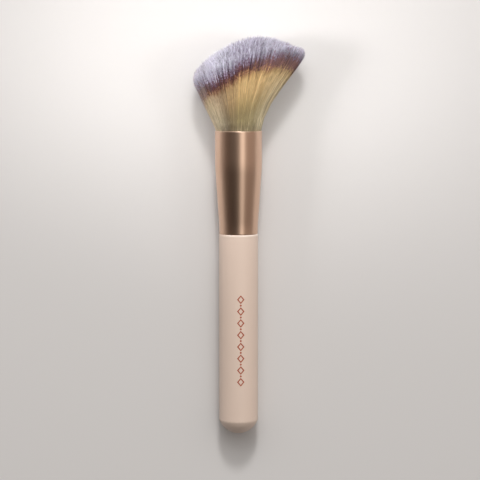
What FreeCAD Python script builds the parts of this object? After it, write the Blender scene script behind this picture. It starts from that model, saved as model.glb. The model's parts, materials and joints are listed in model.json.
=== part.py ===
"""Angled contour brush: a fan of fibres cut on a slant, in a drawn metal ferrule on a turned handle.

The brush is drawn standing on its own axis, +Y towards the fibres, with the seam between ferrule and
handle at Y = 0. It is then laid on a table, touching it with the fibres' belly and the handle's end.
Sizes are in millimetres.
"""

import FreeCAD
import Part
import math
import os

Vector = FreeCAD.Vector
AXIS = Vector(0, 1, 0)
ORIGIN = Vector(0, 0, 0)

# Handle, turned from one piece of wood
HANDLE_DIAMETER = 17.1
HANDLE_LENGTH = 82.6
END_DOME_HEIGHT = 6.2
END_EDGE_RADIUS = 0.7
SHOULDER_CHAMFER = 0.34
TENON_LENGTH = 14.0
TENON_CLEARANCE = 0.03
TENON_LEAD_IN = 0.8
GLUE_GROOVE_WIDTH = 1.6
GLUE_GROOVE_DEPTH = 0.45

# Ferrule, a drawn tube: straight neck, cone, straight barrel
FERRULE_LENGTH = 45.1
NECK_STEP = 0.1
NECK_LENGTH = 3.0
BARREL_DIAMETER = 20.6
BARREL_LENGTH = 15.6
FERRULE_WALL = 0.45
FERRULE_EDGE_CHAMFER = 0.15

# Fibre bundle inside the ferrule
BUNDLE_CLEARANCE = 0.03
RESIN_START = 0.2
RESIN_THICKNESS = 4.0
TIE_HEIGHT = 3.8
TIE_WIDTH = 2.4
TIE_THICKNESS = 0.5
TIE_GAP = 0.02

# Fan of fibres above the ferrule's mouth, seen from its broad side
FAN_SHORT_SIDE = (-19.5, 20.4)
FAN_LONG_SIDE = (28.8, 32.3)
CROWN_POINTS = (
    (-18.7, 24.9),
    (-13.6, 30.7),
    (-5.0, 36.2),
    (6.4, 40.0),
    (17.2, 39.0),
    (25.4, 35.6),
    (28.3, 34.1),
)
CROWN_HALF_THICKNESS = 10.6
BELLY_BULGE = 1.2
DOME_DROP = 4.5
DOME_SHOULDER_DROP = 2.5
DOME_SLANT_SHARE = 0.5
FLARE_LAG = 0.14
FLARE_LAG_SLANT = 0.1

# Locks that the fibres lie in
LOCKS = 28
LOCK_GROOVE_DEPTH = 0.6
LOCK_UNEVENNESS = 0.45
LOCK_PHASE = 2.4
GROOVE_FADE_POWER = 0.5
SIDE_LEVELS = (0.0, 0.14, 0.3, 0.46, 0.62, 0.78, 0.9, 1.0)
CROWN_LEVELS = (0.93, 0.75, 0.45, 0.06)

# Drawing aids
CUTTER_MARGIN = 1.0
SAME_HEIGHT = 1e-6
CONTACT_STEPS = 100

HANDLE_RADIUS = HANDLE_DIAMETER / 2
NECK_RADIUS = HANDLE_RADIUS - NECK_STEP
BARREL_RADIUS = BARREL_DIAMETER / 2
TENON_RADIUS = NECK_RADIUS - FERRULE_WALL - TENON_CLEARANCE
BUNDLE_RADIUS = BARREL_RADIUS - FERRULE_WALL - BUNDLE_CLEARANCE
MOUTH_Y = FERRULE_LENGTH
BARREL_START_Y = FERRULE_LENGTH - BARREL_LENGTH
RESIN_Y = BARREL_START_Y + RESIN_START
ROOT_Y = RESIN_Y + RESIN_THICKNESS
TIE_Y = ROOT_Y + TIE_HEIGHT
TIE_GROOVE_DEPTH = TIE_THICKNESS + 2 * TIE_GAP


def turned(corners):
    """Solid turned about the brush's axis from a closed outline of (radius, height) corners."""
    points = [Vector(radius, height, 0) for radius, height in corners]
    return Part.Face(Part.makePolygon(points + points[:1])).revolve(ORIGIN, AXIS, 360)


def rod(radius, start, end):
    """Cylinder on the brush's axis between two heights."""
    return Part.makeCylinder(radius, end - start, Vector(0, start, 0), AXIS)


def ring_cutter(radius, depth, middle, width):
    """Ring about the axis that cuts a groove into a rod of that radius."""
    start = middle - width / 2
    end = middle + width / 2
    return rod(radius + CUTTER_MARGIN, start, end).cut(rod(radius - depth, start, end))


def circles_at(shape, height):
    """The shape's circular edges about the axis at that height."""
    found = []
    for edge in shape.Edges:
        if edge.Degenerated or not isinstance(edge.Curve, Part.Circle):
            continue
        if abs(edge.Curve.Center.y - height) < SAME_HEIGHT:
            found.append(edge)
    return found


def outermost(circles):
    """The circular edge with the largest radius."""
    return max(circles, key=lambda edge: edge.Curve.Radius)


def make_ferrule():
    """Thin drawn tube with the outer edge of each rim broken."""
    outer, bore = [
        turned(
            [
                (0, 0),
                (NECK_RADIUS - inset, 0),
                (NECK_RADIUS - inset, NECK_LENGTH),
                (BARREL_RADIUS - inset, BARREL_START_Y),
                (BARREL_RADIUS - inset, MOUTH_Y),
                (0, MOUTH_Y),
            ]
        )
        for inset in (0, FERRULE_WALL)
    ]
    tube = outer.cut(bore)
    rims = [outermost(circles_at(tube, height)) for height in (0, MOUTH_Y)]
    return tube.makeChamfer(FERRULE_EDGE_CHAMFER, rims)


def make_handle():
    """Turned handle: grooved tenon, chamfered shoulder, straight grip and domed end."""
    dome_radius = (HANDLE_RADIUS**2 + END_DOME_HEIGHT**2) / (2 * END_DOME_HEIGHT)
    end_y = -HANDLE_LENGTH - END_DOME_HEIGHT
    ball = Part.makeSphere(dome_radius, Vector(0, end_y + dome_radius, 0), AXIS)
    grip = turned(
        [
            (0, end_y),
            (HANDLE_RADIUS, end_y),
            (HANDLE_RADIUS, -SHOULDER_CHAMFER),
            (HANDLE_RADIUS - SHOULDER_CHAMFER, 0),
            (0, 0),
        ]
    )
    grip = grip.common(ball.fuse(rod(HANDLE_RADIUS + CUTTER_MARGIN, -HANDLE_LENGTH, 0)))
    grip = grip.makeFillet(END_EDGE_RADIUS, circles_at(grip, -HANDLE_LENGTH))
    tenon = rod(TENON_RADIUS, 0, TENON_LENGTH)
    tenon = tenon.makeChamfer(TENON_LEAD_IN, circles_at(tenon, TENON_LENGTH))
    middle = (TENON_LENGTH - TENON_LEAD_IN) / 2
    groove = ring_cutter(TENON_RADIUS, GLUE_GROOVE_DEPTH, middle, GLUE_GROOVE_WIDTH)
    return grip.fuse(tenon.cut(groove)).removeSplitter()


def crown_line():
    """Ridge of the crown from the short side to the long side, over the ferrule's mouth."""
    points = (FAN_SHORT_SIDE,) + CROWN_POINTS + (FAN_LONG_SIDE,)
    curve = Part.BSplineCurve()
    curve.interpolate([Vector(x, MOUTH_Y + y, 0) for x, y in points])
    return curve


def tip_of_fibre(crown, across, depth):
    """Where a fibre ends. across and depth are its place in the round bundle, each from -1 to 1."""
    length = crown.length()
    on_ridge = crown.value(crown.parameterAtDistance(length * (across + 1) / 2))
    drop = DOME_DROP * depth**2 + DOME_SHOULDER_DROP * depth**4
    drop *= 1 - DOME_SLANT_SHARE * across
    return Vector(on_ridge.x, on_ridge.y - drop, CROWN_HALF_THICKNESS * depth)


def point_on_fibre(crown, across, depth, share):
    """Point at a share of a fibre's height, from the ferrule's mouth at 0 to its tip at 1."""
    tip = tip_of_fibre(crown, across, depth)
    root = Vector(BUNDLE_RADIUS * across, MOUTH_Y, BUNDLE_RADIUS * depth)
    arch = math.sin(math.pi * share)
    lag = (FLARE_LAG + FLARE_LAG_SLANT * across) * arch * (1 - share)
    return Vector(
        root.x + (tip.x - root.x) * (share - lag),
        root.y + (tip.y - root.y) * share,
        root.z + (tip.z - root.z) * share + BELLY_BULGE * depth * arch,
    )


def lock_ring(crown, reach, share):
    """Points of a ring, a crest and a valley for each lock, reach times as far out as the rim."""
    points = []
    half_width = crown.length() / 2
    for step in range(2 * LOCKS):
        angle = math.pi * step / LOCKS
        groove = 0.0
        if step % 2:
            uneven = 1 + LOCK_UNEVENNESS * math.sin(LOCK_PHASE * step)
            groove = LOCK_GROOVE_DEPTH * uneven * share**GROOVE_FADE_POWER
        across = reach * math.cos(angle) * (1 - groove / half_width)
        depth = reach * math.sin(angle) * (1 - groove / CROWN_HALF_THICKNESS)
        points.append(point_on_fibre(crown, across, depth, share))
    return points


def closed_wire(points):
    """Polygon through the points and back to the first."""
    return Part.makePolygon(points + points[:1])


def levelled(points):
    """The points moved to their mean height, so that a flat face fits them."""
    height = sum(point.y for point in points) / len(points)
    return [Vector(point.x, height, point.z) for point in points]


def lock_ends(rim, crests):
    """Three flat facets that turn each lock over from the side's rim onto the crown."""
    faces = []
    for index in range(LOCKS):
        crest, valley = rim[2 * index], rim[2 * index + 1]
        following = rim[(2 * index + 2) % len(rim)]
        inner, inner_next = crests[index], crests[(index + 1) % LOCKS]
        for corners in (
            [crest, valley, inner],
            [valley, inner_next, inner],
            [valley, following, inner_next],
        ):
            faces.append(Part.Face(closed_wire(corners)))
    return faces


def make_bristle_head():
    """Fibre bundle: straight and tied in the ferrule, then fanned out to a slanted, domed crown."""
    crown = crown_line()
    side_rings = [lock_ring(crown, 1, share) for share in SIDE_LEVELS]
    crown_rings = [lock_ring(crown, reach, 1)[::2] for reach in CROWN_LEVELS]
    crown_rings[-1] = levelled(crown_rings[-1])
    side_wires = [closed_wire(ring) for ring in side_rings]
    crown_wires = [closed_wire(ring) for ring in crown_rings]
    root_end = side_wires[0].translated(Vector(0, ROOT_Y - MOUTH_Y, 0))
    faces = Part.makeLoft([root_end, side_wires[0]], False, True).Faces
    faces += Part.makeLoft(side_wires, False, False).Faces
    faces += lock_ends(side_rings[-1], crown_rings[0])
    faces += Part.makeLoft(crown_wires, False, False).Faces
    faces += [Part.Face(root_end), Part.Face(crown_wires[-1])]
    shell = Part.makeShell(faces)
    shell.sewShape()
    head = Part.Solid(shell)
    if head.Volume < 0:
        head.reverse()
    return head.cut(ring_cutter(BUNDLE_RADIUS, TIE_GROOVE_DEPTH, TIE_Y, TIE_WIDTH + 2 * TIE_GAP))


def make_binding_thread():
    """Thread wound round the bundle in its groove, its turns drawn as one flat band."""
    inner = BUNDLE_RADIUS - TIE_GROOVE_DEPTH + TIE_GAP
    start = TIE_Y - TIE_WIDTH / 2
    end = TIE_Y + TIE_WIDTH / 2
    return rod(inner + TIE_THICKNESS, start, end).cut(rod(inner, start, end))


def make_root_resin():
    """Disc of cast resin that holds the fibre roots in the ferrule's barrel."""
    return rod(BUNDLE_RADIUS, RESIN_Y, ROOT_Y)


def lean_on_table():
    """Angle in degrees between the brush's axis and the table that it lies on."""
    crown = crown_line()
    contacts = [(MOUTH_Y, BARREL_RADIUS)]
    for step in range(1, CONTACT_STEPS + 1):
        point = point_on_fibre(crown, 0, 1, step / CONTACT_STEPS)
        contacts.append((point.y, point.z))
    slopes = [(reach - HANDLE_RADIUS) / (height + HANDLE_LENGTH) for height, reach in contacts]
    return math.degrees(math.atan(max(slopes)))


def lay_down(parts):
    """Puts the brush on the table, its box's bottom centre at the origin. Returns the placement."""
    lean = FreeCAD.Rotation(Vector(1, 0, 0), lean_on_table())
    turned_down = FreeCAD.Placement(ORIGIN, lean)
    laid = Part.makeCompound([shape.transformed(turned_down.toMatrix()) for shape in parts.values()])
    box = laid.optimalBoundingBox(False)
    shift = Vector(-box.Center.x, -box.Center.y, -box.ZMin)
    return FreeCAD.Placement(shift, lean)


def main():
    """Builds each piece, lays the brush down and writes one STEP file for each piece."""
    parts = {
        "handle": make_handle(),
        "ferrule": make_ferrule(),
        "bristle_head": make_bristle_head(),
        "binding_thread": make_binding_thread(),
        "root_resin": make_root_resin(),
    }
    placement = lay_down(parts)
    os.makedirs("parts", exist_ok=True)
    for name, shape in parts.items():
        placed = shape.transformed(placement.toMatrix())
        placed.exportStep(os.path.join("parts", name + ".step"))
        print(name, placed.isValid(), len(placed.Solids), round(placed.Volume, 2))
    print("placement", placement)


main()
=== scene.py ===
"""Angled contour brush on a pale table: a fan of fine fibres, a drawn ferrule and a lacquered handle.

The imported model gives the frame, in metres. Each piece is drawn on the brush's own axis, +Y towards the
fibres and the seam between ferrule and handle at 0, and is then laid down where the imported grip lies.
"""

import json
import logging
import math
from dataclasses import dataclass, field
from enum import Enum

import bmesh
import bpy
import numpy as np
from mathutils import Matrix, Vector


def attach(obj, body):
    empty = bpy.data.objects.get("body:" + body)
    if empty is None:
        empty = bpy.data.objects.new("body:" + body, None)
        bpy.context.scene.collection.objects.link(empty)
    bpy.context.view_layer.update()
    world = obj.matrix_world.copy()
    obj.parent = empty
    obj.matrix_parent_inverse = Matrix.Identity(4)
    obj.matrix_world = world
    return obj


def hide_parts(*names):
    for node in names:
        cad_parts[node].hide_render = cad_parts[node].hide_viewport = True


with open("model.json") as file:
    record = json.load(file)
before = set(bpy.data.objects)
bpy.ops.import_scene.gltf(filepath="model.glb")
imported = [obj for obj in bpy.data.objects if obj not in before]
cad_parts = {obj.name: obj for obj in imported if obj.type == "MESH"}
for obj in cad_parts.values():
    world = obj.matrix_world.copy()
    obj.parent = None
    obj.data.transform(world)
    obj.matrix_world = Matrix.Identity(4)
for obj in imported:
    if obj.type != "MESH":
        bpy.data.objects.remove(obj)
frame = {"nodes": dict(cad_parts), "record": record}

Colour = tuple[float, float, float]
Span = tuple[float, float]
Stops = tuple[tuple[float, Colour], ...]
Skin = bmesh.types.BMesh
Material = bpy.types.Material
Mesh = bpy.types.Mesh
Piece = bpy.types.Object
Tree = bpy.types.NodeTree
Node = bpy.types.Node
Socket = bpy.types.NodeSocket

MM = 0.001
BODY = "root"
BAKE_MAP = "OFBake"
SEED = 20
WHOLE: Span = (0.0, 1.0)

# Most values of a noise lie in the first range, and rubbed wear and painted highlights at rims break up
# between those of the second.
MOST_NOISE: Span = (0.3, 0.7)
BROKEN_NOISE: Span = (0.4, 0.65)

# A Wave texture repeats this often in a metre where its scale is 1.
WAVES_AT_SCALE_ONE = 20 / (2 * math.pi)

log = logging.getLogger("contour_brush")


class Slot(Enum):
    """The record's material slots that the pieces take their finish from."""

    LACQUER = "lacquered_wood"
    METAL = "champagne_metal"
    FIBRES = "fibres"


class Direction(Enum):
    """Axes of the brush before it is laid down."""

    ACROSS = Vector((1, 0, 0))
    ALONG = Vector((0, 1, 0))


class Half(Enum):
    """Part of the bundle that a batch of fibres grows in: where its arc starts and how far it runs."""

    WHOLE = (0.0, 2 * math.pi)
    UPPER = (0.0, math.pi)
    LOWER = (math.pi, math.pi)


def put_up(name: str, data: bpy.types.ID) -> Piece:
    """Put a mesh, a curve, a lamp or a camera into the scene.

    Args:
        name: Name of its object.
        data: What the object shows.

    Returns:
        The object.
    """
    item = bpy.data.objects.new(name, data)
    bpy.context.collection.objects.link(item)
    return item


def finished_mesh(holder: Piece) -> Mesh:
    """Take the mesh of a curve, or of a mesh with modifiers.

    Args:
        holder: Its object, which is removed.

    Returns:
        The mesh.
    """
    seen = holder.evaluated_get(bpy.context.evaluated_depsgraph_get())
    mesh = bpy.data.meshes.new_from_object(seen)
    bpy.data.objects.remove(holder)
    return mesh


def mesh_of(skin: Skin, name: str) -> Mesh:
    """Make a drawn skin a mesh.

    Args:
        skin: The skin, which is freed.
        name: Name of the mesh.

    Returns:
        The mesh.
    """
    mesh = bpy.data.meshes.new(name)
    skin.to_mesh(mesh)
    skin.free()
    return mesh


def face_outwards(skin: Skin) -> None:
    """Turn a closed skin's faces outwards and shade them smooth.

    Args:
        skin: The skin.
    """
    bmesh.ops.recalc_face_normals(skin, faces=skin.faces[:])
    for face in skin.faces:
        face.smooth = True


def places_of(points: bpy.types.bpy_prop_collection | bmesh.types.BMVertSeq) -> np.ndarray:
    """Places of a mesh's or a skin's points, one row each."""
    return np.array([point.co[:] for point in points])


@dataclass(frozen=True)
class RestingPlace:
    """Where the brush lies: its seam and the lean of its axis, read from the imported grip."""

    seam_from_grip: float = 41.4 * MM

    def lay_down(self) -> Matrix:
        """Move from the brush's own axis to the table.

        Returns:
            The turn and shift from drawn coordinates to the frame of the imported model.
        """
        grip = next(m for m in frame["record"]["mounts"] if m["name"] == "grip")
        along = -Vector(grip["axis"]).normalized()
        seam = Vector(grip["pos_m"]) + self.seam_from_grip * along
        across = Vector(Direction.ACROSS.value)
        up = across.cross(along)
        turn = Matrix((across, along, up)).transposed()
        return Matrix.Translation(seam) @ turn.to_4x4()


@dataclass
class Bench:
    """Lays finished pieces of the brush on the table."""

    placement: Matrix
    laid: list[str] = field(default_factory=list)

    def lay(
        self, drawn: Skin | Mesh, name: str, finish: Material, stands_for: str | None = None
    ) -> None:
        """Turn a skin drawn on the brush's axis, or a mesh that already lies on the table, into a piece.

        Args:
            drawn: The skin, which is freed, or the mesh.
            name: Name of the piece.
            finish: Its material.
            stands_for: CAD node that it replaces.
        """
        if isinstance(drawn, Skin):
            drawn.transform(self.placement)
            drawn = mesh_of(drawn, name)
        drawn.materials.clear()
        drawn.materials.append(finish)
        piece = put_up(name, drawn)
        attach(piece, BODY)
        if stands_for:
            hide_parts(stands_for)
        self.laid.append(name)
        log.info("%s: %d faces", name, len(drawn.polygons))

    def dress(self, node: str, finish: Material) -> None:
        """Give a CAD node that stays its material.

        Args:
            node: Name of the node.
            finish: Its material.
        """
        kept = frame["nodes"][node]
        if not kept.material_slots:
            kept.data.materials.append(None)
        kept.material_slots[0].material = finish
        log.info("%s keeps its packed shape", node)


@dataclass(frozen=True)
class Corner:
    """Corner of a turned outline: radius, height and how far its rounding reaches."""

    radius: float
    height: float
    rounding: float = 0.0


@dataclass(frozen=True)
class Lathe:
    """Turns an outline about the brush's axis into a closed skin."""

    sides: int = 128
    rounding_steps: int = 4
    hold: float = 0.3 * MM
    weld: float = 0.001 * MM

    def turn(self, corners: list[Corner], ring: bool) -> Skin:
        """Turn an outline.

        Args:
            corners: The outline's corners in order.
            ring: Whether the last corner joins the first, as on a tube.

        Returns:
            The closed skin, smooth shaded, its faces outwards.
        """
        skin = bmesh.new()
        points = [skin.verts.new((c.radius, c.height, 0)) for c in corners]
        follow = points[1:] + points[:1] if ring else points[1:]
        for start, end in zip(points, follow):
            skin.edges.new((start, end))
        for point, corner in zip(points, corners):
            if corner.rounding:
                size = {"offset": corner.rounding, "offset_type": "OFFSET", "segments": self.rounding_steps}
                bmesh.ops.bevel(skin, geom=[point], profile=0.5, affect="VERTICES", material=-1, **size)
        self.hold_corners(skin)
        way_round = {"cent": (0, 0, 0), "axis": Direction.ALONG.value, "angle": 2 * math.pi}
        outline = skin.verts[:] + skin.edges[:]
        bmesh.ops.spin(skin, geom=outline, steps=self.sides, use_merge=True, **way_round)
        bmesh.ops.remove_doubles(skin, verts=skin.verts[:], dist=self.weld)
        face_outwards(skin)
        return skin

    def hold_corners(self, outline: Skin) -> None:
        """Put a point a short way from both ends of each long run, so that shading stays even there.

        Args:
            outline: The outline, before it is turned.
        """
        for edge in outline.edges[:]:
            length = edge.calc_length()
            if length < 4 * self.hold:
                continue
            start, end = edge.verts
            rest, _ = bmesh.utils.edge_split(edge, start, self.hold / length)
            last = next(e for e in end.link_edges if e in (rest, edge))
            bmesh.utils.edge_split(last, end, self.hold / last.calc_length())


@dataclass
class Wiring:
    """Adds nodes to one tree and joins them."""

    tree: Tree

    def feed(self, socket: Socket, value: object) -> None:
        """Give an input a value, or join it to another node.

        Args:
            socket: The input.
            value: A number, a colour, a vector or another node's output.
        """
        if isinstance(value, Socket):
            self.tree.links.new(value, socket)
        elif socket.type == "RGBA":
            socket.default_value = (*value, 1.0)
        else:
            socket.default_value = value

    def add(self, kind: str, inputs: dict[str | int, object] | None = None, **settings: object) -> Node:
        """Add a shader node.

        Args:
            kind: The node's type, without its ShaderNode prefix.
            inputs: What its inputs get, by their names or numbers.
            **settings: Its properties.

        Returns:
            The node.
        """
        node = self.tree.nodes.new("ShaderNode" + kind)
        for name, value in settings.items():
            setattr(node, name, value)
        for key, value in (inputs or {}).items():
            self.feed(node.inputs[key], value)
        return node

    def number(self, operation: str, *values: object) -> Socket:
        """Work out one number from sockets or numbers with a Math node."""
        return self.add("Math", dict(enumerate(values)), operation=operation).outputs[0]

    def product(self, first: object, *others: object) -> Socket:
        """Multiply numbers with each other.

        Args:
            first: A socket or a number.
            *others: The same.

        Returns:
            The product's socket.
        """
        for other in others:
            first = self.number("MULTIPLY", first, other)
        return first

    def rescale(self, value: Socket, old: Span, new: Span) -> Socket:
        """Map a number from its old range to a new one, held at its ends."""
        ends = {"From Min": old[0], "From Max": old[1], "To Min": new[0], "To Max": new[1]}
        return self.add("MapRange", {"Value": value, **ends}, clamp=True).outputs["Result"]

    def split(self, place: Socket) -> bpy.types.NodeOutputs:
        """Take a place apart into its X, Y and Z."""
        return self.add("SeparateXYZ", {0: place}).outputs

    def colours(self, place: Socket, stops: Stops, longest: float = 1.0) -> Socket:
        """Colours that follow each other along a length.

        Args:
            place: The place along the length.
            stops: Places, and the colour at each.
            longest: The length that the colours are spread over.

        Returns:
            The colour's socket.
        """
        ramp = self.add("ValToRGB", {"Fac": self.number("DIVIDE", place, longest)})
        elements = ramp.color_ramp.elements
        while len(elements) < len(stops):
            elements.new(1.0)
        for element, (where, colour) in zip(elements, stops):
            element.position = where / longest
            element.color = (*colour, 1.0)
        return ramp.outputs["Color"]

    def levels(self, place: Socket, stops: tuple[Span, ...]) -> Socket:
        """Levels that follow each other along a length of 1."""
        return self.colours(place, tuple((where, (level, level, level)) for where, level in stops))

    def mix(self, share: object, first: object, second: object, blend: str = "MIX") -> Socket:
        """Blend two colours, with a share for the second, in the Mix node's way of that name."""
        inputs = {"Factor": share, "A": first, "B": second}
        return self.add("Mix", inputs, data_type="RGBA", blend_type=blend).outputs["Result"]

    def brighten(self, colour: Socket, level: Socket) -> Socket:
        """Multiply a colour's brightness."""
        return self.add("HueSaturation", {"Color": colour, "Value": level}).outputs["Color"]

    def use(self, group: Tree, **values: object) -> bpy.types.NodeOutputs:
        """Place a node group with its own values and give its outputs."""
        return self.add("Group", values, node_tree=group).outputs


class Effect(Wiring):
    """Wiring of a shader node group with named inputs and outputs."""

    def __init__(self, name: str, inputs: dict[str, str], outputs: dict[str, str]) -> None:
        """Start the group.

        Args:
            name: Its name.
            inputs: Name and socket kind of each input.
            outputs: Name and socket kind of each output.
        """
        super().__init__(bpy.data.node_groups.new(name, "ShaderNodeTree"))
        for side, sockets in (("INPUT", inputs), ("OUTPUT", outputs)):
            for label, kind in sockets.items():
                self.tree.interface.new_socket(label, in_out=side, socket_type="NodeSocket" + kind)
        self.given = self.tree.nodes.new("NodeGroupInput").outputs
        self.result = self.tree.nodes.new("NodeGroupOutput").inputs

    def put_out(self, **values: Socket) -> Tree:
        """Join the group's outputs.

        Args:
            **values: What each output gives.

        Returns:
            The finished group.
        """
        for label, value in values.items():
            self.feed(self.result[label], value)
        return self.tree


class Paint(Wiring):
    """Wiring of a material."""

    def __init__(self, name: str) -> None:
        """Start the material.

        Args:
            name: Its name.
        """
        self.material = bpy.data.materials.new(name)
        self.material.use_nodes = True
        super().__init__(self.material.node_tree)

    def bump(self, height: Socket, distance: float, strength: float) -> Socket:
        """Turn a height from 0 to 1 into a normal, with the distance that 1 stands up, in metres."""
        inputs = {"Height": height, "Distance": distance, "Strength": strength}
        return self.add("Bump", inputs).outputs["Normal"]

    def coat(self, inputs: dict[str, object]) -> Material:
        """Give the shader its values.

        Args:
            inputs: What the shader's inputs get, by their names.

        Returns:
            The finished material.
        """
        shader = self.tree.nodes["Principled BSDF"]
        for label, value in inputs.items():
            self.feed(shader.inputs[label], value)
        return self.material


class SharedEffects:
    """Node groups that several finishes use: uneven tone, and rubbed wear and painted highlights at an edge.
    """

    def __init__(self) -> None:
        """Build each group once."""
        self.uneven = self.uneven_tone()
        self.wear_and_highlight = self.wear_and_highlight_edge()

    def uneven_tone(self) -> Tree:
        """Tone and height that vary a little over a surface.

        Returns:
            The group.
        """
        effect = Effect(
            "Uneven tone",
            {"Place": "Vector", "Scale": "Float", "Colour": "Color", "Amount": "Float"},
            {"Colour": "Color", "Height": "Float"},
        )
        given = effect.given
        look = {"Vector": given["Place"], "Scale": given["Scale"], "Detail": 4.0, "Roughness": 0.6}
        noise = effect.add("TexNoise", look).outputs["Fac"]
        swing = effect.product(effect.number("SUBTRACT", noise, 0.5), given["Amount"])
        tone = effect.brighten(given["Colour"], effect.number("ADD", swing, 1.0))
        return effect.put_out(Colour=tone, Height=noise)

    def wear_and_highlight_edge(self) -> Tree:
        """Mask that is strongest at one height of the brush's axis and broken up by noise.

        Returns:
            The group.
        """
        effect = Effect(
            "Rim wear and painted highlight",
            {"Place": "Vector", "Edge": "Float", "Reach": "Float", "Scale": "Float"},
            {"Mask": "Float"},
        )
        given = effect.given
        height = effect.split(given["Place"])["Y"]
        away = effect.number("ABSOLUTE", effect.number("SUBTRACT", height, given["Edge"]))
        near = effect.number("SUBTRACT", 1.0, effect.number("DIVIDE", away, given["Reach"]))
        noise = effect.add("TexNoise", {"Vector": given["Place"], "Scale": given["Scale"]}).outputs["Fac"]
        broken = effect.rescale(noise, BROKEN_NOISE, WHOLE)
        return effect.put_out(Mask=effect.product(effect.number("MAXIMUM", near, 0.0), broken))


@dataclass(frozen=True)
class WearAndHighlightRim:
    """Paler rim of a finish, rubbed wear on some rims and a painted highlight on others: its height on the
    axis, its reach, how fine it breaks up and its colour.
    """

    height: float
    reach: float
    scale: float
    colour: Colour


@dataclass(frozen=True)
class Finish:
    """Finish with an uneven tone, pale rims of rubbed wear and of painted highlight, and a fine relief that
    also varies its roughness.

    The tone's pattern has a scale, an amount and a stretch across, along and up. The relief's heights,
    a range of its pattern, become the two ends of the roughness.
    """

    placement: Matrix
    effects: SharedEffects
    name: str = ""
    colour: Colour = (0.5, 0.5, 0.5)
    stretch: Colour = (1.0, 1.0, 1.0)
    scale: float = 500.0
    amount: float = 0.1
    rims: tuple[WearAndHighlightRim, ...] = ()
    metallic: float = 0.0
    specular: float = 0.5
    roughness: Span = (0.4, 0.6)
    heights: Span = MOST_NOISE
    relief_depth: float = 0.0
    relief_share: float = 0.0

    def build(self) -> Material:
        """Build the material.

        Returns:
            The material.
        """
        paint = Paint(self.name)
        place = self.on_brush(paint, (1.0, 1.0, 1.0))
        stretched = self.on_brush(paint, self.stretch)
        uneven, wear_and_highlight = self.effects.uneven, self.effects.wear_and_highlight
        tone = paint.use(uneven, Place=stretched, Scale=self.scale, Colour=self.colour, Amount=self.amount)
        colour = tone["Colour"]
        for rim in self.rims:
            mask = paint.use(wear_and_highlight, Place=place, Edge=rim.height, Reach=rim.reach, Scale=rim.scale)["Mask"]
            colour = paint.mix(mask, colour, rim.colour)
        height = self.relief(paint, place, tone["Height"])
        inputs = {
            "Base Color": colour,
            "Metallic": self.metallic,
            "Specular IOR Level": self.specular,
            "Roughness": paint.rescale(height, self.heights, self.roughness),
        }
        if self.relief_depth:
            inputs["Normal"] = paint.bump(height, self.relief_depth, self.relief_share)
        return paint.coat(inputs)

    def relief(self, paint: Paint, place: Socket, tone_height: Socket) -> Socket:
        """Height of the relief, which follows the tone unless a finish has its own."""
        return tone_height

    def on_brush(self, paint: Paint, stretch: Colour) -> Socket:
        """Object coordinates turned to the brush's own axis.

        Args:
            paint: The material's wiring.
            stretch: How often the pattern repeats across, along and up.

        Returns:
            The coordinates' socket.
        """
        back = self.placement.inverted()
        move = {"Location": back.to_translation(), "Rotation": back.to_euler()}
        on_object = paint.add("TexCoord").outputs["Object"]
        turned = paint.add("Mapping", {"Vector": on_object, **move}, vector_type="POINT").outputs["Vector"]
        return paint.add("VectorMath", {0: turned, 1: stretch}, operation="MULTIPLY").outputs["Vector"]


@dataclass(frozen=True)
class ChampagneMetal(Finish):
    """Drawn and anodised metal with a fine grain round the tube, and a pale mouth that is rubbed metal with a
    painted highlight.
    """

    name: str = "Champagne metal"
    colour: Colour = (0.73, 0.505, 0.375)
    stretch: Colour = (1.0, 40.0, 1.0)
    scale: float = 220.0
    amount: float = 0.03
    # Pale mouth rim: rubbed metal, and a painted highlight where the rolled rim catches the light.
    rims: tuple[WearAndHighlightRim, ...] = (WearAndHighlightRim(45.1 * MM, 0.7 * MM, 900.0, (0.92, 0.74, 0.60)),)
    metallic: float = 1.0
    roughness: Span = (0.30, 0.33)
    relief_depth: float = 0.01 * MM
    relief_share: float = 0.02


@dataclass(frozen=True)
class SatinLacquer(Finish):
    """Pink-beige satin lacquer on wood, faintly uneven and rubbed at its end's edge, with a painted highlight
    along its shoulder.
    """

    name: str = "Satin lacquer"
    colour: Colour = (0.72, 0.573, 0.483)
    stretch: Colour = (1.0, 0.35, 1.0)
    scale: float = 160.0
    amount: float = 0.07
    rims: tuple[WearAndHighlightRim, ...] = (
        WearAndHighlightRim(-82.6 * MM, 0.9 * MM, 1400.0, (0.78, 0.63, 0.53)),
        # This second rim is a painted highlight: a pale line where the shoulder's rounded edge catches the
        # light.
        WearAndHighlightRim(-0.22 * MM, 0.75 * MM, 110.0, (0.95, 0.88, 0.82)),
    )
    specular: float = 0.42
    roughness: Span = (0.40, 0.50)
    relief_depth: float = 0.01 * MM
    relief_share: float = 0.2
    relief_scale: float = 1800.0

    def relief(self, paint: Paint, place: Socket, tone_height: Socket) -> Socket:
        """Height of the lacquer's fine orange peel."""
        return paint.use(self.effects.uneven, Place=place, Scale=self.relief_scale)["Height"]


@dataclass(frozen=True)
class PrintedInk(Finish):
    """Terracotta ink, slightly thin in places."""

    name: str = "Terracotta ink"
    colour: Colour = (0.36, 0.065, 0.022)
    scale: float = 2600.0
    amount: float = 0.5
    specular: float = 0.35
    roughness: Span = (0.45, 0.6)


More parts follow.
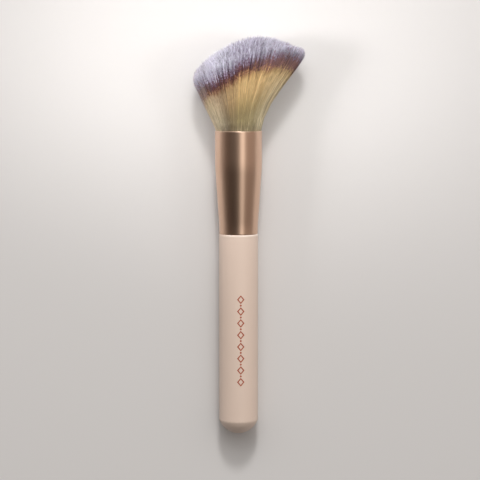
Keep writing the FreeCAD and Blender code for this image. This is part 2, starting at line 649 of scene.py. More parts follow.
@dataclass(frozen=True)
class WaxedThread(Finish):
    """Cream thread wound tight: fine turns side by side, slightly soiled."""

    name: str = "Waxed thread"
    colour: Colour = (0.66, 0.61, 0.50)
    scale: float = 1500.0
    amount: float = 0.35
    roughness: Span = (0.8, 0.55)
    heights: Span = WHOLE
    relief_depth: float = 0.1 * MM
    relief_share: float = 0.8
    turns_per_metre: float = 2100.0

    def relief(self, paint: Paint, place: Socket, tone_height: Socket) -> Socket:
        """Height of the turns."""
        look = {"Vector": place, "Scale": self.turns_per_metre / WAVES_AT_SCALE_ONE}
        return paint.add("TexWave", look, wave_type="BANDS", bands_direction="Y").outputs["Fac"]


@dataclass(frozen=True)
class CastResin(Finish):
    """Amber resin that holds the fibres' roots, with small bubbles and a gloss."""

    name: str = "Cast resin"
    colour: Colour = (0.42, 0.24, 0.07)
    amount: float = 0.8
    roughness: Span = (0.12, 0.3)
    relief_depth: float = 0.08 * MM
    relief_share: float = 0.4


@dataclass(frozen=True)
class FibreColours:
    """Colours of a fibre by its distance from the tip, in millimetres, and by its place in the fan: the dye,
    with painted light and shade laid over it.

    The fibre's map keeps one scale from the tip, at height 1, to the knee, and fits the rest in below.
    Each fibre lies in one of the map's columns, which run across the fan from its short side, at 0, to
    its long side, at 1. The dye's band is shifted along the fan and made ragged by chance and by streaks.
    Pairs of numbers that fade, grow or calm something are the distances where that starts and ends.
    """

    knee: float = 10.0
    knee_at: float = 0.7
    longest: float = 38.0
    columns: int = 256
    column_margin: float = 0.25
    ragged: float = 1.7
    ragged_short_side: float = 1.5
    calmer_between: Span = (4.5, 8.5)
    calmest: float = 0.45
    streaked: float = 3.0
    streaks: float = 190.0
    tip_dashes: float = 1.0
    shaft_dashes: float = 0.28
    short_side: Span = (0.05, 0.45)
    tips_fade: Span = (3.0, 6.0)
    tone_and_shade_grows: Span = (7.0, 11.0)
    edge_glow_grows: Span = (8.5, 18.0)
    fine_tone: Span = (0.80, 1.08)
    broad_tone: Span = (0.80, 1.12)
    dark_fibres: Span = (0.75, 0.81)
    dark_fade: Span = (8.0, 13.0)
    darkened: Span = (0.48, 0.14)
    sheen: Span = (0.38, 0.55)
    most_shift: float = 3.0
    dye_shift: tuple[Span, ...] = (
        (0.0, 1.0), (0.08, 0.4), (0.16, -0.9), (0.22, -0.8), (0.32, -1.3),
        (0.43, 0.2), (0.55, 0.4), (0.66, -0.3), (0.76, -0.1), (0.90, 0.6),
    )
    # The dye along the fibre, with painted light: darker from 26 to 30 mm, partly painted shade, and paler
    # again at the root, lifted against the shade of the ferrule and the packed fibres.
    along_fibre: Stops = (
        (0.0, (0.80, 0.790, 0.91)), (1.6, (0.69, 0.665, 0.815)), (2.9, (0.51, 0.455, 0.62)),
        (3.8, (0.35, 0.245, 0.37)), (4.7, (0.15, 0.070, 0.100)), (7.2, (0.125, 0.040, 0.042)),
        (8.5, (0.33, 0.15, 0.09)), (10.0, (0.56, 0.36, 0.17)), (13.0, (0.72, 0.53, 0.27)),
        (19.0, (0.70, 0.515, 0.26)), (26.0, (0.48, 0.37, 0.185)), (29.5, (0.40, 0.325, 0.17)),
        (33.5, (0.45, 0.375, 0.21)), (36.7, (0.63, 0.545, 0.35)), (38.0, (0.70, 0.62, 0.43)),
    )
    # Partly the dye, browner on the short side, and partly painted shade: the shaft darker towards the short
    # side, away from the light.
    tone_and_shade_across_fan: Stops = (
        (0.0, (1.0, 1.0, 1.0)), (0.06, (0.90, 0.92, 1.0)), (0.16, (0.62, 0.60, 0.78)),
        (0.30, (0.60, 0.56, 0.64)), (0.42, (0.80, 0.76, 0.76)), (0.54, (1.0, 0.97, 0.92)),
        (0.74, (1.0, 0.98, 0.95)), (0.88, (1.0, 1.0, 1.0)),
    )
    # Partly painted light: the pale tips stay whitest at the short side, where the light falls on the crown,
    # with tone in the dips between.
    tips_across: Stops = (
        (0.0, (1.0, 1.0, 1.0)), (0.08, (0.96, 0.95, 0.94)), (0.15, (0.83, 0.81, 0.80)),
        (0.22, (0.93, 0.92, 0.92)), (0.28, (1.0, 1.0, 0.98)), (0.36, (0.88, 0.88, 0.88)),
        (0.50, (0.82, 0.81, 0.83)), (0.64, (0.92, 0.92, 0.92)), (0.76, (0.86, 0.85, 0.85)),
        (0.88, (0.95, 0.95, 0.95)),
    )
    # Lightest colour allowed across the fan: on the short side it lifts the rim as painted light against its
    # shade; on the long side it is the band's redder dye.
    darkest: Stops = (
        (0.0, (0.62, 0.50, 0.46)), (0.06, (0.54, 0.42, 0.385)), (0.12, (0.20, 0.13, 0.12)),
        (0.22, (0.0, 0.0, 0.0)), (0.50, (0.0, 0.0, 0.0)), (0.62, (0.21, 0.110, 0.110)),
        (0.76, (0.28, 0.145, 0.140)), (0.96, (0.36, 0.200, 0.180)),
    )
    # Painted light: cream laid over the fan's edges, standing in for light that shines through and round the
    # fibres there.
    edge_glow_colour: Colour = (0.92, 0.80, 0.56)
    edge_glow_levels: tuple[Span, ...] = (
        (0.0, 0.80), (0.06, 0.76), (0.14, 0.54), (0.25, 0.24), (0.40, 0.0),
        (0.60, 0.0), (0.75, 0.07), (0.88, 0.36), (0.96, 0.66),
    )

    def height_in_map(self, from_tip: np.ndarray, length: np.ndarray) -> np.ndarray:
        """Height of a point in the fibre's own map.

        Args:
            from_tip: Distances from the tip, in metres.
            length: Length of the fibre, in metres.

        Returns:
            Heights, 1 at the tip, with the coloured end of each fibre at one scale.
        """
        knee = self.knee * MM
        tip_part = 1 - (1 - self.knee_at) * from_tip / knee
        rest = self.knee_at * (1 - (from_tip - knee) / (length - knee))
        return np.clip(np.where(from_tip <= knee, tip_part, rest), 0.0, 1.0)

    def group(self) -> Tree:
        """Node group that colours a fibre from its own map, with painted light and shade over the dye.

        Returns:
            The group.
        """
        effect = Effect(
            "Fibre colours and painted light", {"Place": "Vector", "Shade": "Float"}, {"Colour": "Color", "Sheen": "Float"}
        )
        place = effect.split(effect.given["Place"])
        across = place["X"]
        column = effect.number("FLOOR", effect.product(across, float(self.columns)))
        chance = effect.add("TexWhiteNoise", {"W": column}, noise_dimensions="1D").outputs["Color"]
        draws = effect.add("SeparateColor", {0: chance}).outputs

        near = effect.rescale(place["Y"], (self.knee_at, 1.0), (self.knee, 0.0))
        far = effect.rescale(place["Y"], (0.0, self.knee_at), (self.longest - self.knee, 0.0))
        at_tip = effect.product(near, self.tip_dashes)
        dashes = effect.number("ADD", at_tip, effect.product(far, self.shaft_dashes))
        aside = effect.product(column, self.streaks / self.columns)
        streak_place = effect.add("CombineXYZ", {"X": aside, "Y": dashes}).outputs[0]
        look = {"Vector": streak_place, "Scale": 1.0, "Detail": 2.0}
        streak = effect.add("TexNoise", look, noise_dimensions="2D").outputs["Fac"]

        wander = effect.rescale(streak, MOST_NOISE, (-self.streaked, self.streaked))
        jitter = effect.rescale(draws["Red"], WHOLE, (-self.ragged, self.ragged))
        levels = tuple((where, 0.5 + shift / (2 * self.most_shift)) for where, shift in self.dye_shift)
        shift = effect.rescale(effect.levels(across, levels), WHOLE, (-self.most_shift, self.most_shift))
        shifted = effect.number("ADD", shift, effect.number("ADD", near, far))
        rougher = effect.rescale(across, self.short_side, (self.ragged_short_side, 1.0))
        uneven = effect.number("ADD", wander, effect.product(jitter, rougher))
        calmer = effect.rescale(shifted, self.calmer_between, (1.0, self.calmest))
        moved = effect.number("ADD", effect.product(uneven, calmer), shifted)

        colour = effect.colours(moved, self.along_fibre, self.longest)
        # Painted light across the crown's tips, with tone.
        on_tip = effect.rescale(moved, self.tips_fade, (1.0, 0.0))
        colour = effect.mix(on_tip, colour, effect.colours(across, self.tips_across), "MULTIPLY")
        # Partly painted shade: the shaft darker towards the fan's short side.
        on_shaft = effect.rescale(moved, self.tone_and_shade_grows, WHOLE)
        colour = effect.mix(on_shaft, colour, effect.colours(across, self.tone_and_shade_across_fan), "MULTIPLY")
        # Painted light on the short side's rim, and the band's redder dye on the long side.
        colour = effect.mix(1.0, colour, effect.colours(across, self.darkest), "LIGHTEN")
        # Painted light: the share of cream glow at each place across the fan.
        thin = effect.levels(across, self.edge_glow_levels)
        edge_glow = effect.product(thin, effect.rescale(moved, self.edge_glow_grows, WHOLE))
        colour = effect.mix(edge_glow, colour, self.edge_glow_colour)

        fine = effect.rescale(draws["Green"], WHOLE, self.fine_tone)
        broad = effect.rescale(streak, MOST_NOISE, self.broad_tone)
        is_dark = effect.rescale(draws["Blue"], self.dark_fibres, WHOLE)
        how_dark = effect.rescale(moved, self.dark_fade, self.darkened)
        dark_ones = effect.number("SUBTRACT", 1.0, effect.product(is_dark, how_dark))
        level = effect.product(fine, broad, dark_ones, effect.given["Shade"])
        sheen = effect.rescale(draws["Red"], WHOLE, self.sheen)
        return effect.put_out(Colour=effect.brighten(colour, level), Sheen=sheen)


@dataclass(frozen=True)
class FibreDyeAndPaintedLight:
    """Soft synthetic fibre: pale tip, dark band, golden shaft, with the painted light and shade of its colour
    group.
    """

    colours: Tree
    shade: float = 1.0

    def build(self, name: str) -> Material:
        """Build the material.

        Args:
            name: Its name.

        Returns:
            The material.
        """
        paint = Paint(name)
        own_map = paint.add("UVMap", uv_map=BAKE_MAP).outputs["UV"]
        dyed = paint.use(self.colours, Place=own_map, Shade=self.shade)
        return paint.coat(
            {"Specular IOR Level": 0.35, "Base Color": dyed["Colour"], "Roughness": dyed["Sheen"]}
        )


@dataclass
class Ferrule:
    """Drawn tube: straight neck, cone, straight barrel, rolled rims."""

    length: float = 45.1 * MM
    neck_radius: float = 8.45 * MM
    neck_length: float = 3.0 * MM
    barrel_radius: float = 10.3 * MM
    barrel_start: float = 29.5 * MM
    wall: float = 0.45 * MM
    rim_rounding: float = 0.2 * MM
    break_rounding: float = 2.2 * MM

    def outline(self) -> list[Corner]:
        """Outline of the tube's wall.

        Returns:
            Its corners, up the outside and down the bore.
        """
        return [
            Corner(self.neck_radius, 0.0, self.rim_rounding),
            Corner(self.neck_radius, self.neck_length, self.break_rounding),
            Corner(self.barrel_radius, self.barrel_start, self.break_rounding),
            Corner(self.barrel_radius, self.length, self.rim_rounding),
            Corner(self.barrel_radius - self.wall, self.length, self.rim_rounding),
            Corner(self.barrel_radius - self.wall, self.barrel_start),
            Corner(self.neck_radius - self.wall, self.neck_length),
            Corner(self.neck_radius - self.wall, 0.0),
        ]

    def build(self, bench: Bench, lathe: Lathe, finish: Material) -> None:
        """Turn the tube and lay it on the table."""
        skin = lathe.turn(self.outline(), ring=True)
        bench.lay(skin, "ferrule_tube", finish, "ferrule")


@dataclass
class Handle:
    """Turned handle: domed end, straight grip, rounded shoulder and the tenon in the ferrule."""

    radius: float = 8.55 * MM
    length: float = 82.6 * MM
    dome_height: float = 6.2 * MM
    dome_steps: int = 14
    edge_rounding: float = 0.25 * MM
    shoulder_rounding: float = 0.62 * MM
    tenon_radius: float = 7.97 * MM
    tenon_length: float = 14.0 * MM
    tenon_rounding: float = 0.6 * MM

    def outline(self) -> list[Corner]:
        """Outline from the pole of the domed end to the middle of the tenon's face.

        Returns:
            Its corners, with the dome as short runs.
        """
        ball = (self.radius**2 + self.dome_height**2) / (2 * self.dome_height)
        centre = -self.length - self.dome_height + ball
        widest = math.asin(self.radius / ball)
        angles = [widest * step / self.dome_steps for step in range(self.dome_steps)]
        dome = [Corner(ball * math.sin(angle), centre - ball * math.cos(angle)) for angle in angles]
        return dome + [
            Corner(self.radius, -self.length, self.edge_rounding),
            Corner(self.radius, 0.0, self.shoulder_rounding),
            Corner(self.tenon_radius, 0.0),
            Corner(self.tenon_radius, self.tenon_length, self.tenon_rounding),
            Corner(0.0, self.tenon_length),
        ]

    def build(self, bench: Bench, lathe: Lathe, finish: Material) -> None:
        """Turn the handle and lay it on the table."""
        skin = lathe.turn(self.outline(), ring=False)
        bench.lay(skin, "handle_turned", finish, "handle")


@dataclass
class PrintedColumn:
    """Slim column of plain lozenges and dots, printed along the handle's upper side."""

    handle_radius: float = 8.55 * MM
    start: float = -28.2 * MM
    end: float = -64.6 * MM
    turned_by: float = math.radians(6.5)
    lozenges: int = 8
    half_width: float = 1.65 * MM
    half_length: float = 1.9 * MM
    stroke: float = 0.66 * MM
    stroke_cuts: int = 3
    dot_radius: float = 0.42 * MM
    dot_sides: int = 12
    ink: float = 0.02 * MM
    sunk: float = 0.01 * MM

    def build(self, bench: Bench, finish: Material) -> None:
        """Draw the column flat, thicken it and wrap it round the handle.

        Args:
            bench: Lays the piece.
            finish: The ink.
        """
        skin = bmesh.new()
        pitch = (self.end - self.start) / (self.lozenges - 1)
        for number in range(self.lozenges):
            middle = self.start + pitch * number
            self.add_lozenge(skin, middle)
            if number < self.lozenges - 1:
                self.add_dot(skin, middle + pitch / 2)
        bmesh.ops.recalc_face_normals(skin, faces=skin.faces[:])
        bmesh.ops.subdivide_edges(skin, edges=skin.edges[:], cuts=self.stroke_cuts, use_grid_fill=True)
        lifted = bmesh.ops.extrude_face_region(skin, geom=skin.faces[:], use_keep_orig=True)
        raised = [item for item in lifted["geom"] if isinstance(item, bmesh.types.BMVert)]
        bmesh.ops.translate(skin, verts=raised, vec=(0, 0, self.ink + self.sunk))
        bmesh.ops.recalc_face_normals(skin, faces=skin.faces[:])
        for point in skin.verts:
            radius = self.handle_radius - self.sunk + point.co.z
            angle = self.turned_by + point.co.x / self.handle_radius
            point.co.x = radius * math.sin(angle)
            point.co.z = radius * math.cos(angle)
        bench.lay(skin, "handle_print", finish)

    def add_lozenge(self, skin: Skin, middle: float) -> None:
        """Add the outline of a lozenge, flat.

        Args:
            skin: The drawing.
            middle: Its height on the handle.
        """
        corners = bmesh.ops.create_circle(skin, cap_ends=True, segments=4, radius=1.0)["verts"]
        bmesh.ops.scale(skin, vec=(self.half_width, self.half_length, 1.0), verts=corners)
        bmesh.ops.translate(skin, vec=(0, middle, 0), verts=corners)
        face = corners[0].link_faces[0]
        bmesh.ops.inset_individual(skin, faces=[face], thickness=self.stroke)
        bmesh.ops.delete(skin, geom=[face], context="FACES_ONLY")

    def add_dot(self, skin: Skin, middle: float) -> None:
        """Add a round dot, flat, at a height of the handle."""
        made = bmesh.ops.create_circle(skin, cap_ends=True, segments=self.dot_sides, radius=self.dot_radius)
        bmesh.ops.translate(skin, vec=(0, middle, 0), verts=made["verts"])


@dataclass
class FanShape:
    """Where a fibre runs, from its place in the round bundle to its tip on the slanted crown."""

    mouth: float = 45.1 * MM
    bundle_radius: float = 9.82 * MM
    half_thickness: float = 10.6 * MM
    belly_bulge: float = 1.2 * MM
    dome_drop: float = 4.5 * MM
    dome_shoulder_drop: float = 2.5 * MM
    dome_slant_share: float = 0.5
    flare_lag: float = 0.14
    flare_lag_slant: float = 0.1
    crown_steps: int = 40
    crown: tuple[Span, ...] = (
        (-19.5, 20.4), (-18.7, 24.9), (-13.6, 30.7), (-5.0, 36.2), (6.4, 40.0),
        (17.2, 39.0), (25.4, 35.6), (28.3, 34.1), (28.8, 32.3),
    )

    def __post_init__(self) -> None:
        """Measure the ridge of the crown once."""
        line = bpy.data.curves.new("crown_ridge", "CURVE")
        line.resolution_u = self.crown_steps
        spline = line.splines.new("BEZIER")
        spline.bezier_points.add(len(self.crown) - 1)
        for point, (across, height) in zip(spline.bezier_points, self.crown):
            point.co = (across * MM, self.mouth + height * MM, 0)
            point.handle_left_type = "AUTO"
            point.handle_right_type = "AUTO"
        traced = finished_mesh(put_up("crown_ridge", line))
        self.ridge = places_of(traced.vertices)
        steps = np.linalg.norm(np.diff(self.ridge, axis=0), axis=1)
        self.run = np.concatenate([[0.0], np.cumsum(steps)])
        self.run /= self.run[-1]
        bpy.data.curves.remove(line)
        bpy.data.meshes.remove(traced)

    def tips(self, across: np.ndarray, depth: np.ndarray) -> np.ndarray:
        """Tips of fibres.

        Args:
            across: Places in the bundle towards the long side, from -1 to 1.
            depth: Places in the bundle towards the upper face, from -1 to 1.

        Returns:
            One point for each fibre.
        """
        share = (across + 1) / 2
        x = np.interp(share, self.run, self.ridge[:, 0])
        y = np.interp(share, self.run, self.ridge[:, 1])
        drop = self.dome_drop * depth**2 + self.dome_shoulder_drop * depth**4
        drop = drop * (1 - self.dome_slant_share * across)
        return np.stack([x, y - drop, self.half_thickness * depth], axis=-1)

    def points(self, across: np.ndarray, depth: np.ndarray, share: np.ndarray) -> np.ndarray:
        """Points on fibres.

        Args:
            across: Places in the bundle towards the long side.
            depth: Places in the bundle towards the upper face.
            share: How far along the fibre each point is, 0 at the ferrule's mouth and 1 at the tip.

        Returns:
            One point for each entry.
        """
        tip = self.tips(across, depth)
        root_x = self.bundle_radius * across
        root_z = self.bundle_radius * depth
        arch = np.sin(math.pi * share)
        lag = (self.flare_lag + self.flare_lag_slant * across) * arch * (1 - share)
        x = root_x + (tip[..., 0] - root_x) * (share - lag)
        y = self.mouth + (tip[..., 1] - self.mouth) * share
        z = root_z + (tip[..., 2] - root_z) * share + self.belly_bulge * depth * arch
        return np.stack([x, y, z], axis=-1)


@dataclass(frozen=True)
class FibreBatch:
    """One mesh full of fibres: how many, where their roots lie and where their rings are.

    The rings nearest the tip stand at given distances from it, in millimetres, and the body's rings are
    spread evenly below them. A gathered root stands that much nearer to the bundle's axis than its tip.
    """

    name: str
    count: int
    seed: int
    half: Half
    inner: float = 0.85
    ring_distances: tuple[float, ...] = (10.0, 6.5, 3.6, 1.3, 0.0)
    body_rings: int = 4
    tuft_pull: float = 0.3
    gathered_root: float = 1.0


@dataclass
class BristleHead:
    """Fan of fibres: a core darkened as painted shade, long fibres around it and short ones that make the
    crown.

    Places in the bundle run from -1 to 1, and shares of a fibre from 0 at the ferrule's mouth to 1.
    """

    fan: FanShape
    colours: FibreColours
    outer: float = 0.985
    root: float = -0.03
    sides: int = 3
    thickness: float = 0.21 * MM
    thickness_range: Span = (0.85, 1.15)
    tip_thickness: float = 0.32
    taper: float = 6.0 * MM
    tuft_count: int = 3200
    tuft_pull_range: Span = (0.5, 1.5)
    stray_tip: float = 0.22 * MM
    stray_length: float = 0.60 * MM
    bow: float = 0.16 * MM
    tuft_columns: float = 6.0
    column_jitter: float = 0.5
    core_segments: tuple[int, int] = (64, 40)
    core_radius: float = 0.87
    core_bottom_end: float = 0.08
    core_side_end: float = 0.72
    core_reach: float = 0.86
    core_in_map: tuple[float, float, float] = (0.02, 0.80, 0.86)
    core_map_half_width: float = 0.48
    batches: tuple[FibreBatch, ...] = (
        FibreBatch("bristles_upper", 3700, 1, Half.UPPER),
        FibreBatch("bristles_lower", 3100, 2, Half.LOWER),
        FibreBatch("bristles_crown", 9600, 3, Half.WHOLE, 0.0, (8.5, 5.0, 2.0, 0.0), 0, 0.1, 0.84),
    )

    def build(self, bench: Bench, fibre: Material, shaded: Material) -> None:
        """Build the core and the fibres.

        Args:
            bench: Lays the pieces.
            fibre: Material of the fibres.
            shaded: Material of the core, the fibres' own darkened as painted shade.
        """
        self.build_core(bench, shaded)
        chance = np.random.default_rng(SEED)
        places = self.scatter(chance, self.tuft_count, 0.0, Half.WHOLE)
        columns = chance.normal(0, self.tuft_columns, (self.tuft_count, 1))
        tufts = np.concatenate([places, columns], axis=1)
        for batch in self.batches:
            self.build_batch(bench, batch, tufts, fibre)

    def scatter(self, chance: np.random.Generator, count: int, inner: float, half: Half) -> np.ndarray:
        """Places spread evenly over the bundle, or over a part of it.

        Args:
            chance: Source of random numbers.
            count: How many places.
            inner: Smallest distance from the bundle's axis, with 1 as its radius.
            half: The part of the bundle.

        Returns:
            Pairs of places across and in depth.
        """
        low = (inner / self.outer) ** 2
        radius = self.outer * np.sqrt(low + (1 - low) * chance.random(count))
        start, arc = half.value
        angle = chance.random(count) * arc + start
        return np.stack([radius * np.cos(angle), radius * np.sin(angle)], axis=-1)

    def build_core(self, bench: Bench, finish: Material) -> None:
        """Form the mass of fibres that the outer ones hide.

        Args:
            bench: Lays the piece.
            finish: Its material.
        """
        skin = bmesh.new()
        around, upwards = self.core_segments
        bmesh.ops.create_uvsphere(skin, u_segments=around, v_segments=upwards, radius=1.0)
        skin.verts.ensure_lookup_table()
        ball = places_of(skin.verts)
        rise = 1 - np.arccos(np.clip(ball[:, 2], -1, 1)) / math.pi
        flat = np.maximum(np.hypot(ball[:, 0], ball[:, 1]), 1e-9)
        ends = [0.0, self.core_bottom_end, self.core_side_end, 1.0]
        radius = np.interp(rise, ends, [0.0, 1.0, 1.0, 0.0]) * self.core_radius
        share = np.interp(rise, ends, [self.root, self.root, self.core_reach, self.core_reach])
        across = radius * ball[:, 0] / flat
        depth = -radius * ball[:, 1] / flat
        for point, place in zip(skin.verts, self.fan.points(across, depth, share)):
            point.co = place
        height = np.interp(rise, [0.0, self.core_side_end, 1.0], self.core_in_map)
        own_map = skin.loops.layers.uv.new(BAKE_MAP)
        for face in skin.faces:
            for loop in face.loops:
                number = loop.vert.index
                loop[own_map].uv = (0.5 + self.core_map_half_width * across[number], height[number])
        face_outwards(skin)
        bench.lay(skin, "bristle_core", finish, "bristle_head")

    def one_fibre(self, rings: int) -> Mesh:
        """Draw one closed thin fibre, ring by ring.

        Args:
            rings: How many rings it has.

        Returns:
            Its mesh, ring after ring, its faces outwards.
        """
        skin = bmesh.new()
        bmesh.ops.create_circle(skin, cap_ends=True, segments=self.sides, radius=1.0)
        end = skin.edges[:]
        for _ in range(rings - 1):
            grown = bmesh.ops.extrude_edge_only(skin, edges=end)["geom"]
            end = [item for item in grown if isinstance(item, bmesh.types.BMEdge)]
            corners = [item for item in grown if isinstance(item, bmesh.types.BMVert)]
            bmesh.ops.translate(skin, vec=(0, 0, 1), verts=corners)
        bmesh.ops.holes_fill(skin, edges=end, sides=self.sides)
        face_outwards(skin)
        skin.loops.layers.uv.new(BAKE_MAP)
        return mesh_of(skin, "fibre")

    def many_fibres(self, fibre: Mesh, count: int) -> Mesh:
        """Repeat a fibre in one mesh.

        Args:
            fibre: The one fibre.
            count: How many times.

        Returns:
            The mesh with all copies one after the other.
        """
        holder = put_up("fibre", fibre)
        rows = holder.modifiers.new("copies", "ARRAY")
        rows.count = count
        rows.use_relative_offset = False
        rows.use_merge_vertices = False
        return finished_mesh(holder)

    def build_batch(self, bench: Bench, batch: FibreBatch, tufts: np.ndarray, finish: Material) -> None:
        """Build one batch of fibres and lay each on its own line.

        Args:
            bench: Lays the piece.
            batch: The batch.
            tufts: Places that the fibres' tips lean together at, and how far aside each takes its colours.
            finish: The fibres' material.
        """
        count = batch.count
        chance = np.random.default_rng(SEED + batch.seed)
        place = self.scatter(chance, count, batch.inner, batch.half)
        nearest = np.array([np.argmin(((tufts[:, :2] - spot) ** 2).sum(axis=1)) for spot in place])
        lean = (tufts[nearest, :2] - place) * batch.tuft_pull
        lean *= chance.uniform(*self.tuft_pull_range, (count, 1))
        tips = self.fan.tips(place[:, 0], place[:, 1])
        roots = self.fan.points(place[:, 0], place[:, 1], np.zeros(count))
        length = np.linalg.norm(tips - roots, axis=1)

        ends = np.array(batch.ring_distances) * MM
        rings = batch.body_rings + len(ends)
        from_tip = np.empty((count, rings))
        from_tip[:, batch.body_rings :] = ends
        lowest = length * (1 - self.root)
        for number in range(batch.body_rings):
            from_tip[:, number] = lowest + (ends[0] - lowest) * (number / batch.body_rings)
        share = 1 - from_tip / length[:, None]
        grown = np.clip(share, 0, 1) ** 2
        gathered = batch.gathered_root + (1 - batch.gathered_root) * np.clip(1 - from_tip / ends[0], 0, 1)
        across = place[:, :1] * gathered + lean[:, :1] * grown
        depth = place[:, 1:] * gathered + lean[:, 1:] * grown

        line = self.fan.points(across, depth, share)
        line += chance.normal(0, 1, (count, 1, 3)) * self.stray_tip * grown[..., None] ** 1.5
        line[..., 1] += chance.normal(0, self.stray_length, (count, 1)) * grown**3
        bend = np.sin(math.pi * np.clip(share, 0, 1))
        line += chance.normal(0, 1, (count, 1, 3)) * self.bow * bend[..., None]
        fine = np.interp(from_tip, [0.0, self.taper], [self.tip_thickness, 1.0]) * self.thickness / 2
        fine *= chance.uniform(*self.thickness_range, (count, 1))
        turn = chance.random((count, 1)) * 2 * math.pi

        one = self.one_fibre(rings)
        base = places_of(one.vertices)
        ring_of = np.rint(base[:, 2]).astype(int)
        angle = np.arctan2(base[:, 1], base[:, 0]) + turn
        turned = np.array(bench.placement)
        line = line @ turned[:3, :3].T + turned[:3, 3]
        line[..., 2] = np.maximum(line[..., 2], fine)
        radius = fine[:, ring_of]
        at = line[:, ring_of, :]
        at[..., 0] += radius * np.cos(angle)
        at[..., 2] -= radius * np.sin(angle)

        mesh = self.many_fibres(one, count)
        mesh.vertices.foreach_set("co", at.reshape(-1).astype(np.float32))
        columns = self.colours.columns
        aside = tufts[nearest, 2] + chance.normal(0, self.column_jitter, count)
        column = np.clip(np.floor((across[:, -1] * 0.5 + 0.5) * columns + aside), 0, columns - 1)
        heights = self.colours.height_in_map(from_tip, length[:, None])
        self.fill_map(mesh, one, column, heights[:, ring_of])
        mesh.update()
        bpy.data.meshes.remove(one)
        bench.lay(mesh, batch.name, finish, "bristle_head")

    def fill_map(self, mesh: Mesh, one: Mesh, column: np.ndarray, heights: np.ndarray) -> None:
        """Lay each fibre into its own narrow column of the map.

        Args:
            mesh: The mesh of all fibres.
            one: The one fibre that it repeats.
            column: Column of each fibre.
            heights: Height in the map of each fibre's points.
        """
        base = places_of(one.vertices)
        corner = np.array([loop.vertex_index for loop in one.loops])
        side = np.rint((np.arctan2(base[:, 1], base[:, 0]) / (2 * math.pi)) * self.sides) % self.sides
        offset = np.empty(len(corner))
        for face in one.polygons:
            places = side[corner[list(face.loop_indices)]]
            if len(places) == 4 and set(places) == {0.0, float(self.sides - 1)}:
                places = np.where(places == 0, self.sides, places)
            offset[list(face.loop_indices)] = places
        margin = self.colours.column_margin
        in_column = margin + (1 - 2 * margin) * offset / self.sides
        u = (column[:, None] + in_column[None, :]) / self.colours.columns
        laid_out = np.stack([u, heights[:, corner]], axis=-1)
        mesh.uv_layers[BAKE_MAP].data.foreach_set("uv", laid_out.reshape(-1).astype(np.float32))


@dataclass(frozen=True)
class PhotoCamera:
    """Camera almost straight above the brush, leaning towards the fibres."""

    aim: tuple[float, float, float] = (-0.0040, -0.0012, 0.0100)
    distance: float = 0.80
    lean: float = math.radians(4.5)
    lens: float = 136.65
    sensor: float = 36.0
    nearest: float = 0.01
    farthest: float = 20.0

    def build(self) -> None:
        """Put up the camera and make it the scene's."""
        data = bpy.data.cameras.new("overhead_camera")
        data.lens = self.lens
        data.sensor_width = self.sensor
        data.clip_start = self.nearest
        data.clip_end = self.farthest
        camera = put_up("overhead_camera", data)
        turn = Matrix.Rotation(-self.lean, 4, "X")
        back = turn @ Vector((0, 0, self.distance))
        camera.matrix_world = Matrix.Translation(Vector(self.aim) + back) @ turn
        bpy.context.scene.camera = camera


@dataclass(frozen=True)
class Softbox:
    """Soft lamp that faces the brush at one place along its axis.

    Its azimuth runs in degrees from the fibres' end towards the fan's long side.
    """

    name: str
    azimuth: float
    elevation: float
    distance: float
    width: float
    height: float
    watts: float
    colour: Colour
    faces: float
    spread: float = 180.0
    mirrored: bool = True

    def build(self) -> None:
        """Put up the lamp."""
        data = bpy.data.lights.new(self.name, "AREA")
        data.shape = "RECTANGLE"
        data.size = self.width
        data.size_y = self.height
        data.energy = self.watts
        data.color = self.colour
        data.spread = math.radians(self.spread)
        lamp = put_up(self.name, data)
        lamp.visible_glossy = self.mirrored
        azimuth = math.radians(self.azimuth)
        elevation = math.radians(self.elevation)
        flat = math.cos(elevation)
        towards = Vector((flat * math.sin(azimuth), flat * math.cos(azimuth), math.sin(elevation)))
        turn = towards.to_track_quat("Z", "Y").to_matrix().to_4x4()
        spot = self.faces * Vector(Direction.ALONG.value)
        lamp.matrix_world = Matrix.Translation(spot + towards * self.distance) @ turn


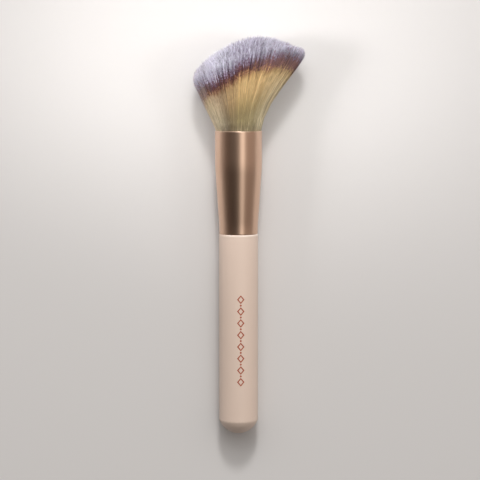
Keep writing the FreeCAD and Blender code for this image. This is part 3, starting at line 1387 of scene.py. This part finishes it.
@dataclass(frozen=True)
class Studio:
    """Pale table, surroundings that the metal mirrors, and lamps."""

    floor_size: float = 6.0
    floor_colour: Colour = (0.66, 0.645, 0.64)
    backdrop: Colour = (0.66, 0.645, 0.64)
    surroundings: Stops = (
        (-180.0, (0.52, 0.49, 0.48)), (-95.0, (0.47, 0.44, 0.425)), (-85.0, (0.45, 0.41, 0.39)),
        (-68.0, (0.19, 0.155, 0.135)), (-54.0, (0.100, 0.070, 0.055)), (-22.0, (0.036, 0.024, 0.018)),
        (-3.0, (0.095, 0.075, 0.062)), (7.0, (0.46, 0.41, 0.37)), (14.0, (1.85, 1.80, 1.74)),
        (24.0, (2.12, 2.08, 2.00)), (32.0, (0.62, 0.54, 0.46)), (44.0, (0.44, 0.35, 0.30)),
        (58.0, (0.50, 0.41, 0.36)), (80.0, (0.47, 0.40, 0.36)), (100.0, (0.26, 0.24, 0.22)),
        (180.0, (0.52, 0.49, 0.48)),
    )
    dims_between: Span = (-0.44, 0.02)
    foot_end_level: float = 0.08
    foot_wall: Colour = (0.12, 0.115, 0.11)
    foot_wall_between: Span = (-0.86, -0.60)
    wall: Stops = (
        (0.0, (0.34, 0.335, 0.33)),
        (0.8, (1.45, 1.43, 1.40)),
    )
    wall_between: Span = (0.18, 0.55)
    lamps: tuple[Softbox, ...] = (
        Softbox("window", 2.0, 39.0, 1.20, 0.16, 0.16, 6.2, (1.0, 0.985, 0.965), 0.0),
        Softbox("key", -4.0, 52.0, 0.50, 0.26, 0.24, 0.56, (1.0, 0.985, 0.965), 0.03),
        Softbox("fill", 98.0, 38.0, 0.30, 0.10, 0.08, 0.014, (0.99, 0.99, 1.0), 0.084, 34.0, False),
        Softbox("rim", -92.0, 32.0, 0.30, 0.10, 0.08, 0.030, (1.0, 0.98, 0.98), 0.084, 34.0, False),
    )

    def build(self) -> None:
        """Build the table, the surroundings and the lamps."""
        self.build_floor()
        self.build_surroundings()
        for lamp in self.lamps:
            lamp.build()

    def build_floor(self) -> None:
        """Lay the pale table top."""
        skin = bmesh.new()
        bmesh.ops.create_grid(skin, x_segments=1, y_segments=1, size=self.floor_size / 2)
        mesh = mesh_of(skin, "table_top")
        matt = {"Base Color": self.floor_colour, "Roughness": 1.0, "Specular IOR Level": 0.0}
        mesh.materials.append(Paint("Pale table").coat(matt))
        put_up("table_top", mesh)

    def build_surroundings(self) -> None:
        """Shade the world by the angle round the brush's axis, and show the camera a plain backdrop."""
        world = bpy.data.worlds.new("studio")
        bpy.context.scene.world = world
        world.use_nodes = True
        wires = Wiring(world.node_tree)
        wires.tree.nodes.clear()
        way = wires.split(wires.add("TexCoord").outputs["Generated"])
        turned = wires.rescale(wires.number("ARCTAN2", way["X"], way["Z"]), (-math.pi, math.pi), (0.0, 360.0))
        stops = tuple((where + 180.0, colour) for where, colour in self.surroundings)
        level = wires.rescale(way["Y"], self.dims_between, (self.foot_end_level, 1.0))
        around = {0: wires.colours(turned, stops, 360.0), "Scale": level}
        dimmed = wires.add("VectorMath", around, operation="SCALE").outputs["Vector"]
        foot_share = wires.rescale(way["Y"], self.foot_wall_between, (1.0, 0.0))
        footed = wires.mix(foot_share, dimmed, self.foot_wall)
        wall_share = wires.rescale(way["Y"], self.wall_between, WHOLE)
        walled = wires.mix(wall_share, footed, wires.colours(way["Z"], self.wall))
        seen = {
            0: wires.add("LightPath").outputs["Is Camera Ray"],
            1: wires.add("Background", {"Color": walled}).outputs[0],
            2: wires.add("Background", {"Color": self.backdrop}).outputs[0],
        }
        wires.add("OutputWorld", {"Surface": wires.add("MixShader", seen).outputs[0]})


def main() -> None:
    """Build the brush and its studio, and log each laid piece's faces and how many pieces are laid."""
    logging.basicConfig(level=logging.INFO, format="%(name)s %(message)s")
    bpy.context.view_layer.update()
    bpy.context.scene.view_settings.view_transform = "Standard"
    PhotoCamera().build()
    Studio().build()

    placement = RestingPlace().lay_down()
    bench = Bench(placement)
    lathe = Lathe()
    effects = SharedEffects()
    Ferrule().build(bench, lathe, ChampagneMetal(placement, effects).build())
    Handle().build(bench, lathe, SatinLacquer(placement, effects).build())
    PrintedColumn().build(bench, PrintedInk(placement, effects).build())
    bench.dress("binding_thread", WaxedThread(placement, effects).build())
    bench.dress("root_resin", CastResin(placement, effects).build())
    colours = FibreColours()
    # The colour group gives the fibres their dye with painted light and shade laid over it.
    dye = colours.group()
    head = BristleHead(FanShape(), colours)
    # The core's material is the fibres' own, darkened to three quarters: painted shade among the fibres.
    head.build(bench, FibreDyeAndPaintedLight(dye).build("Dyed fibre and painted light"), FibreDyeAndPaintedLight(dye, shade=0.75).build("Fibre core in painted shade"))

    log.info("%d pieces laid", len(bench.laid))


if __name__ == "__main__":
    main()
